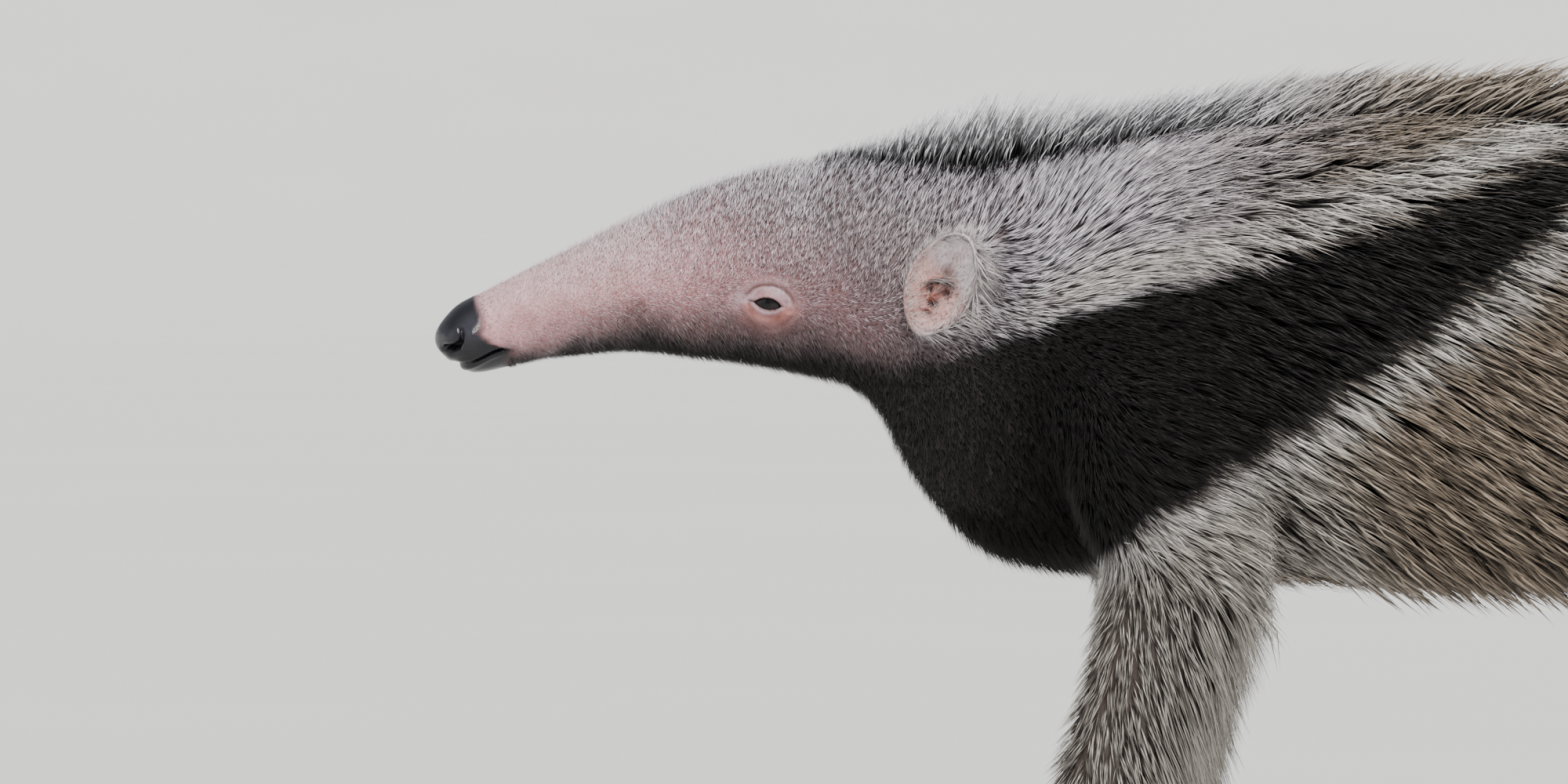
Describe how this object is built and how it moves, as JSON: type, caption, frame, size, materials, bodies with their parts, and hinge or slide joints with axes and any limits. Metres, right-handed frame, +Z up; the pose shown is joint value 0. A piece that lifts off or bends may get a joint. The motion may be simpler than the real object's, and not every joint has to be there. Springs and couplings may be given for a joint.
{
  "type": "young giant anteater",
  "caption": "Life-size still model of a young giant anteater standing on all fours, with an upright mane, a crest along the back and a plumed tail.",
  "frame": {"origin": "on the floor under the middle of the whole body, halfway between the tip of the nose and the tip of the tail's hair, on the animal's midline", "axes": "-X the way the nose points, -Y the animal's left side, +Z up"},
  "size_m": [0.745, 0.118, 0.2461],
  "materials": {
    "face_coat": "short pale hair over mauve skin",
    "neck_coat": "grizzled grey hair with white tips",
    "dark_coat": "coarse dark brown hair with paler tips",
    "pale_coat": "pale grey hair",
    "nose_skin": "moist bare black skin",
    "ear_skin": "thin bare skin with a pale haired rim",
    "eye": "wet gloss",
    "claw": "smooth horn"
  },
  "bodies": {
    "root": {"nose_pad": "nose_skin", "lower_jaw": "nose_skin", "snout": "face_coat", "head": "face_coat", "neck": "neck_coat", "torso": "dark_coat", "tail": "dark_coat", "eye_right": "eye", "ear_right": "ear_skin", "upper_arm_right": "dark_coat", "forearm_right": "pale_coat", "hand_right": "dark_coat", "fore_claw_1_right": "claw", "fore_claw_2_right": "claw", "fore_claw_3_right": "claw", "fore_claw_4_right": "claw", "thigh_right": "dark_coat", "shank_right": "dark_coat", "foot_right": "dark_coat", "hind_claw_1_right": "claw", "hind_claw_2_right": "claw", "hind_claw_3_right": "claw", "hind_claw_4_right": "claw", "hind_claw_5_right": "claw", "eye_left": "eye", "ear_left": "ear_skin", "upper_arm_left": "dark_coat", "forearm_left": "pale_coat", "hand_left": "dark_coat", "fore_claw_1_left": "claw", "fore_claw_2_left": "claw", "fore_claw_3_left": "claw", "fore_claw_4_left": "claw", "thigh_left": "dark_coat", "shank_left": "dark_coat", "foot_left": "dark_coat", "hind_claw_1_left": "claw", "hind_claw_2_left": "claw", "hind_claw_3_left": "claw", "hind_claw_4_left": "claw", "hind_claw_5_left": "claw"}
  },
  "joints": []
}
